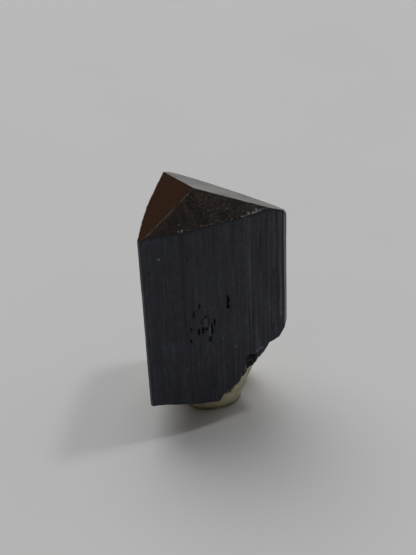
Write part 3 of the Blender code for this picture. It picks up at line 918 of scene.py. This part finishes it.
class Finish:
    """A material under way: its tree, its Principled shader, and object coordinates in millimetres."""

    def __init__(self, name):
        self.material = bpy.data.materials.new(name)
        self.material.use_nodes = True
        self.tree = self.material.node_tree
        self.shader = self.tree.nodes["Principled BSDF"]
        metres = add_node(self.tree, "TexCoord")["Object"]
        self.vector = self.stretched(metres, (1 / MM, 1 / MM, 1 / MM))
        self.x, self.y, self.z = add_node(self.tree, "SeparateXYZ", self.vector)

    def stretched(self, vector, factors):
        """A vector multiplied by three factors."""
        return add_node(self.tree, "VectorMath", vector, factors, operation="MULTIPLY")[0]

    def attribute(self, name):
        """The value of a float attribute."""
        return add_node(self.tree, "Attribute", attribute_name=name)["Fac"]

    def noise(self, scale, detail=2.0, roughness=0.6, stretch=None, distortion=0.0):
        """Noise in 0..1 on the coordinates, which can be multiplied first."""
        vector = self.stretched(self.vector, stretch) if stretch else self.vector
        return add_noise(self.tree, vector, scale, detail, roughness, distortion)

    def clouds(self, strength, scale, detail=2.0, stretch=None):
        """Noise carried from 0..1 to half the strength below and above 0."""
        return add_scaled(self.tree, self.noise(scale, detail, 0.6, stretch), strength, -strength / 2)

    def use(self, group, **values):
        """A shared effect's outputs, with its inputs set to outputs or numbers."""
        node = self.tree.nodes.new("ShaderNodeGroup")
        node.node_tree = group
        for label, value in values.items():
            put(self.tree, node.inputs[label], value)
        return node.outputs

    def specks(self, scale, size, share):
        """The mask of scattered specks."""
        return self.use(SPECKS, Vector=self.vector, Scale=scale, Size=size, Share=share)["Mask"]

    def wear(self, width, amount, scale):
        """The mask of the wear along the skin's edges."""
        edge = self.attribute("edge")
        return self.use(WEAR, Vector=self.vector, Edge=edge, Width=width, Amount=amount, Scale=scale)["Mask"]

    def mark_on_front(self, plan_x, level, half_width, half_height):
        """The mask of a blotch on the front side, or in the chip behind it, at a plan x and a level."""
        spot = tuple(place(plan_x, FRONT_Y, level) / MM)
        return self.use(BLOTCH, Vector=self.vector, Place=spot, Reach=(half_width, 4.0, half_height))["Mask"]

    def dabbed(self, colour, mark, strength, paint):
        """A colour with one mark of the front painted over it."""
        share = multiply(self.tree, self.mark_on_front(*mark), strength)
        return add_mix(self.tree, share, colour, paint)

    def plain(self, **values):
        """Uniform values, set on the shader's own sockets."""
        for label, value in values.items():
            self.shader.inputs[label.replace("_", " ")].default_value = value

    def feed(self, label, value):
        """An output linked to one of the shader's inputs."""
        self.tree.links.new(value, self.shader.inputs[label])

    def bump(self, height, distance_mm, strength):
        """Relief finer than the mesh, fed to the shader's normal."""
        node = self.tree.nodes.new("ShaderNodeBump")
        node.inputs["Distance"].default_value = distance_mm * MM
        node.inputs["Strength"].default_value = strength
        self.tree.links.new(height, node.inputs["Height"])
        self.feed("Normal", node.outputs["Normal"])


# ------------ finishes


def schorl_side():
    """The striated sides: blue-black, with dull lengthwise streaks that are lighter and darker by turns,
    partly painted sheen and painted shade in the grooves.
    """
    finish = Finish("schorl side")
    tree = finish.tree
    finish.plain(IOR=SCHORL_IOR, Specular_IOR_Level=0.22)
    along = finish.attribute("along")
    marked = add_range(tree, along, 12.0, 17.5, 0.25, 1.0)
    hair = finish.use(STRIATION, Along=along, Level=finish.z, Fineness=7.5, Stretch=0.05)
    tone = add_scaled(tree, hair["Tone"], 1.1, -0.60)
    # Crisp lines: the dark ones are painted shade in grooves, the light ones painted sheen.
    for fineness, strength in ((3.0, -0.85), (3.7, 0.60)):
        lines = finish.use(LINES, Along=along, Level=finish.z, Fineness=fineness, Marked=marked)
        tone = add_scaled(tree, lines["Mask"], strength, tone)
    grain = finish.clouds(1.8, 1.0, stretch=(4.4, 4.4, 1.5))
    tone = total(tree, tone, grain, finish.attribute("tone"))
    colour = add_ramp(tree, add_range(tree, tone, -1.0, 2.0, kind="LINEAR"), SIDE_COLOURS)
    cast = finish.noise(1.0, 2.0, 0.5, (0.42, 0.42, 0.30))
    colour = add_mix(tree, 1.0, colour, add_ramp(tree, cast, SIDE_TINTS), "MULTIPLY")
    # Light specks painted over the colour, two of them painted glints.
    for spot_x, spot_level, radius, strength in LIGHT_SPECKS_AND_GLINTS:
        colour = finish.dabbed(colour, (spot_x, spot_level, radius, radius), strength, SPECK_AND_GLINT_PAINT)
    dust = multiply(tree, finish.specks(1.1, 0.16, 0.16), 0.35)
    colour = add_mix(tree, dust, colour, DUST_PAINT)
    wear = finish.wear(0.10, finish.attribute("bruise"), 1.7)
    finish.feed("Base Color", add_mix(tree, wear, colour, SIDE_WEAR_PAINT))
    rough = add_range(tree, tone, -1.2, 1.2, 0.34, 0.27)
    finish.feed("Roughness", add_math(tree, "MAXIMUM", rough, multiply(tree, wear, 0.6)))
    finish.bump(hair["Height"], 0.030, 0.6)
    return finish.material


def schorl_top(name, dark, light, glint_light, worn, glints_and_grain, roughness, film):
    """A top face: smooth and brown-black, clouded by its tone, with painted glints off its grains, worn along
    its edges.

    The wear is a thin tan line, and where the rim is bruised it is wider and pale. Film is a clear coat
    that comes and goes with the tone, so the sheen is streaky.
    """
    finish = Finish(name)
    tree = finish.tree
    finish.plain(IOR=SCHORL_IOR, Specular_IOR_Level=0.24, Coat_Roughness=roughness)
    tone = total(tree, finish.clouds(1.6, 0.55, 4.0), finish.attribute("tone"), finish.clouds(2.2, 3.4))
    colour = add_mix(tree, add_range(tree, tone, -0.9, 1.2), dark, light)
    right = multiply(tree, add_range(tree, finish.x, -4.5, 0.5), glints_and_grain)
    grainy = total(tree, right, 0.16 * glints_and_grain)
    cast = add_range(tree, finish.noise(1.3), 0.42, 0.58)
    glint_paint = add_mix(tree, cast, glint_light, BROWN_GLINT_PAINT)
    # Painted glints: light specks that stand in for grains catching the lamps.
    for scale, size, share in ((2.9, 0.48, 0.50), (4.6, 0.50, 0.60)):
        painted_glints = multiply(tree, finish.specks(scale, size, share), grainy)
        colour = add_mix(tree, painted_glints, colour, glint_paint)
    bruise = finish.attribute("bruise")
    hurt = add_range(tree, bruise, 0.70, 1.35)
    amount = total(tree, hurt, add_range(tree, bruise, 0.05, 0.30, 0.0, 0.48))
    wear = finish.wear(add_scaled(tree, hurt, 0.32, 0.13), amount, 2.3)
    colour = add_mix(tree, wear, colour, add_mix(tree, hurt, worn, BRUISE_PAINT))
    for *mark, strength in CRUSHED_SPOTS:
        colour = finish.dabbed(colour, mark, strength * glints_and_grain, CRUSHED_PAINT)
    finish.feed("Base Color", colour)
    if film:
        finish.feed("Coat Weight", add_range(tree, tone, -0.8, 1.0, 0.0, film))
    finish.feed("Roughness", add_scaled(tree, wear, 0.55, roughness))
    finish.bump(finish.noise(1.0, 3.0, 0.6, (3.2, 0.5, 0.5)), 0.006, 0.2)
    return finish.material


def schorl_break():
    """The break: black with curved ripples, dulled in patches, with painted shade and painted reflections in
    the chip, and pale along its edge.
    """
    finish = Finish("schorl break")
    tree = finish.tree
    finish.plain(IOR=SCHORL_IOR, Specular_IOR_Level=0.14)
    cloud = finish.noise(0.9, 4.0)
    fine = add_range(tree, finish.noise(3.6), 0.35, 0.65, -0.35, 0.35)
    tone = total(tree, add_scaled(tree, cloud, 0.8, -0.4), finish.attribute("tone"), fine)
    # Painted shade and painted reflections of the chip.
    for *mark, strength in CHIP_SHADE_AND_LIGHT:
        tone = add_scaled(tree, finish.mark_on_front(*mark), strength, tone)
    colour = add_ramp(tree, add_range(tree, tone, -1.0, 2.5, kind="LINEAR"), BREAK_COLOURS)
    finish.feed("Base Color", add_mix(tree, finish.wear(0.12, 0.25, 1.9), colour, BREAK_WEAR_PAINT))
    finish.feed("Roughness", add_range(tree, cloud, 0.35, 0.65, 0.14, 0.42))
    finish.bump(finish.noise(2.6, 4.0, 0.55, distortion=0.6), 0.12, 0.6)
    return finish.material


def cream_putty():
    """Matt cream putty: soft mottling, fine grain, and a few darker smears."""
    finish = Finish("cream putty")
    tree = finish.tree
    finish.plain(IOR=1.45, Subsurface_Weight=0.12, Subsurface_Scale=0.0012, Subsurface_Radius=(1.0, 0.7, 0.4))
    cloud = finish.noise(0.35, 4.0)
    colour = add_mix(tree, add_range(tree, cloud, 0.3, 0.7), PUTTY_DARK, PUTTY_LIGHT)
    smear = add_range(tree, finish.noise(0.8, 3.0, stretch=(0.6, 0.6, 1.6)), 0.60, 0.75, 0.0, 0.45)
    finish.feed("Base Color", add_mix(tree, smear, colour, PUTTY_SMEAR))
    finish.feed("Roughness", add_range(tree, cloud, 0.3, 0.7, 0.62, 0.50))
    finish.bump(finish.noise(3.0, 5.0, 0.65), 0.10, 0.5)
    return finish.material


def pale_floor():
    """Pale matt board, very faintly clouded."""
    finish = Finish("pale floor")
    tree = finish.tree
    finish.plain(IOR=1.45, Specular_IOR_Level=0.2)
    cloud = finish.noise(0.03, 3.0, 0.5)
    finish.feed("Base Color", add_mix(tree, cloud, (0.70, 0.70, 0.70), (0.74, 0.74, 0.74)))
    finish.feed("Roughness", add_range(tree, cloud, 0.3, 0.7, 0.75, 0.85))
    return finish.material


# ------------ stage, light and view


def lay_floor():
    """A large flat square under the foot, 2 m wide."""
    points = [(-1, -1, 0), (1, -1, 0), (1, 1, 0), (-1, 1, 0)]
    mesh_piece("floor", points, [(0, 1, 2, 3)], [pale_floor()], [0], {}, 30)


def hang_light(name, azimuth, elevation, distance_mm, width_mm, watts):
    """A round soft lamp that looks at the crystal from an azimuth, an elevation and a distance."""
    light = bpy.data.lights.new(name, "AREA")
    light.shape = "DISK"
    light.size = width_mm * MM
    light.energy = watts
    lamp = bpy.data.objects.new(name, light)
    turn, rise = math.radians(azimuth), math.radians(elevation)
    back = Vector((math.cos(turn) * math.cos(rise), math.sin(turn) * math.cos(rise), math.sin(rise)))
    lamp.location = Vector(LAMP_TARGET) + back * distance_mm * MM
    lamp.rotation_euler = back.to_track_quat("Z", "Y").to_euler()
    bpy.context.scene.collection.objects.link(lamp)


def light_room():
    """A dim even room, browner and darker near the horizon, with three soft lamps overhead.

    Looked at past the floor's edge, the room is as pale as the floor.
    """
    world = bpy.data.worlds.new("studio")
    bpy.context.scene.world = world
    world.use_nodes = True
    tree = world.node_tree
    height = add_node(tree, "SeparateXYZ", add_node(tree, "TexCoord")["Generated"])["Z"]
    colour = add_ramp(tree, height, ROOM_COLOURS)
    straight = add_node(tree, "LightPath")["Is Camera Ray"]
    put(tree, tree.nodes["Background"].inputs[0], add_mix(tree, straight, colour, ROOM_SEEN))
    for name, values in LAMPS.items():
        hang_light(name, *values)
    view = bpy.context.scene.view_settings
    view.view_transform = "Standard"
    view.look = "None"


def set_camera():
    """The camera: turned by azimuth, elevation and roll, then set back so the apex has its place in view."""
    camera = bpy.data.cameras.new("camera")
    camera.lens = LENS_MM
    camera.sensor_width = SENSOR_MM
    camera.clip_start = 0.005
    camera.clip_end = 20.0
    seat = bpy.data.objects.new("camera", camera)
    turn = (
        Matrix.Rotation(math.radians(VIEW_AZIMUTH), 4, "Z")
        @ Matrix.Rotation(math.radians(90 - VIEW_ELEVATION), 4, "X")
        @ Matrix.Rotation(math.radians(VIEW_ROLL), 4, "Z")
    )
    apex = Vector(place(0, 0, 0).tolist())
    seat.matrix_world = Matrix.Translation(apex + turn.to_3x3() @ Vector(VIEW_OFFSET) * MM) @ turn
    bpy.context.scene.collection.objects.link(seat)
    bpy.context.scene.camera = seat


# ------------ the object


def build():
    """Both pieces in place of their nodes, then the floor, the lights and the camera."""
    tops = [schorl_top(name, *values) for name, values in TOP_FINISHES.items()]
    crystal = crystal_skin([*tops, schorl_side(), schorl_break()])
    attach(crystal, "root")
    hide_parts("tourmaline_crystal")
    putty = putty_skin(cream_putty())
    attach(putty, "root")
    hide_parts("mounting_putty")
    lay_floor()
    light_room()
    set_camera()


build()
